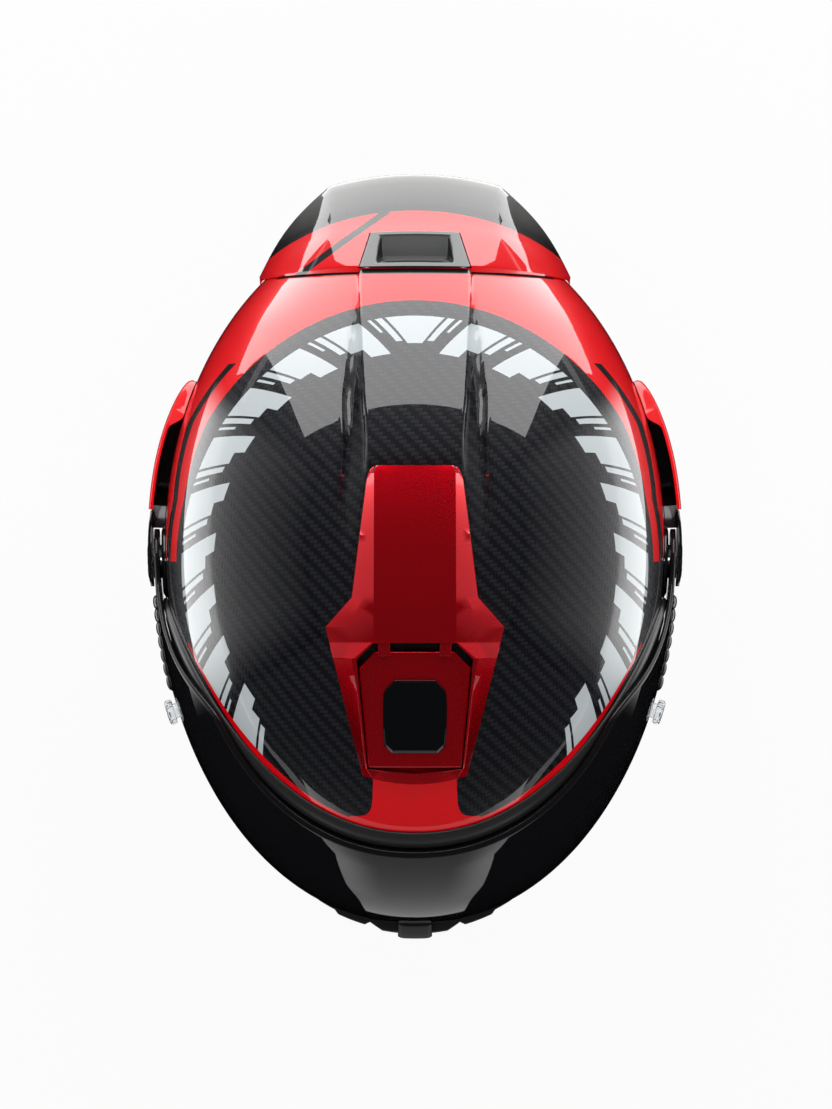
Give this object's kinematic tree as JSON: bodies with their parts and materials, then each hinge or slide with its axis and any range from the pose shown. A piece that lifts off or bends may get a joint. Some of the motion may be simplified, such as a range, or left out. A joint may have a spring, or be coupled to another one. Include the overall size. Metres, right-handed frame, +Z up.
{
  "type": "full face motorcycle helmet",
  "caption": "Full face racing helmet with pivoting smoke visor, sliding vents, rear spoiler, padded lining and D-ring strap.",
  "frame": {"origin": "middle of the bounding box, on the surface that the neck rim stands on", "axes": "+Y towards the back of the head, -Y the way the face looks, +X towards the wearer's left ear, +Z up"},
  "size_m": [0.256, 0.3672, 0.2704],
  "materials": {
    "shell": "clear-coated woven carbon laminate with painted panels",
    "rim_rubber": "matt moulded rubber",
    "beading_rubber": "satin moulded rubber",
    "foam": "dyed expanded polystyrene",
    "lining": "brushed knit",
    "pad_cloth": "brushed knit over foam",
    "curtain_cloth": "woven cloth",
    "soft_rubber": "soft matt rubber",
    "smoke_visor": "dark smoke polycarbonate, hard coated",
    "black_plastic": "gloss black moulding",
    "satin_plastic": "satin black moulding",
    "clear_plastic": "clear moulding",
    "red_paint": "clear-coated red",
    "red_plastic": "gloss deep red moulding",
    "gunmetal": "satin dark grey",
    "steel": "bright",
    "mesh": "blackened",
    "webbing": "close woven webbing",
    "tab_cloth": "woven tape"
  },
  "bodies": {
    "shell": {"outer_shell": "shell", "edge_trim": "rim_rubber", "port_beading": "beading_rubber", "impact_foam": "foam", "chin_foam": "foam", "crown_lining": "lining", "cheek_pad_left": "pad_cloth", "cheek_pad_right": "pad_cloth", "neck_roll": "pad_cloth", "chin_curtain": "curtain_cloth", "breath_guard": "soft_rubber", "pivot_base_left": "satin_plastic", "pivot_base_right": "satin_plastic", "pivot_cover_left": "black_plastic", "pivot_cover_right": "black_plastic", "pivot_screws": "steel", "chin_lip": "satin_plastic", "chin_vent_housing": "black_plastic", "chin_vent_mesh": "mesh", "top_vent_housing": "red_plastic", "spoiler": "red_paint", "exhaust_frame": "gunmetal", "side_fin_left": "red_paint", "side_fin_right": "red_paint", "strap_left": "webbing", "strap_right": "webbing", "strap_rivets": "steel", "strap_snap": "steel", "release_tab_left": "tab_cloth", "release_tab_right": "tab_cloth"},
    "visor": {"visor": "smoke_visor", "visor_tab": "satin_plastic", "tear_off_posts": "clear_plastic", "arm_trim_left": "black_plastic", "arm_trim_right": "black_plastic"},
    "lock_button": {"lock_button": "red_plastic"},
    "vent_shutter": {"top_vent_shutter": "red_plastic", "top_vent_grip": "black_plastic"},
    "chin_slider": {"chin_vent_slider": "satin_plastic"},
    "d_ring_lower": {"d_ring_lower": "steel"},
    "d_ring_upper": {"d_ring_upper": "steel"}
  },
  "joints": [
    {"name": "visor_hinge", "type": "hinge", "parent": "shell", "child": "visor", "pos_m": [0, 0.003, 0.152], "axis": [-1, 0, 0], "range_deg": [0, 50]},
    {"name": "lock_press", "type": "slide", "parent": "shell", "child": "lock_button", "axis": [0, 1, 0], "range_m": [0, 0.0022], "stiffness_N_per_m": 900, "springref_m": -0.001},
    {"name": "top_vent_slide", "type": "slide", "parent": "shell", "child": "vent_shutter", "axis": [0, 0.9576, 0.2881], "range_m": [0, 0.0036]},
    {"name": "chin_vent_slide", "type": "slide", "parent": "shell", "child": "chin_slider", "axis": [0, 0, 1], "range_m": [0, 0.005]},
    {"name": "d_ring_swing", "type": "hinge", "parent": "shell", "child": "d_ring_lower", "pos_m": [0.064, -0.009, 0.012], "axis": [0, 1, 0], "range_deg": [0, 120]},
    {"name": "d_ring_open", "type": "hinge", "parent": "d_ring_lower", "child": "d_ring_upper", "pos_m": [0.06341, -0.009, 0.01381], "axis": [0, 1, 0], "range_deg": [0, 40]}
  ]
}
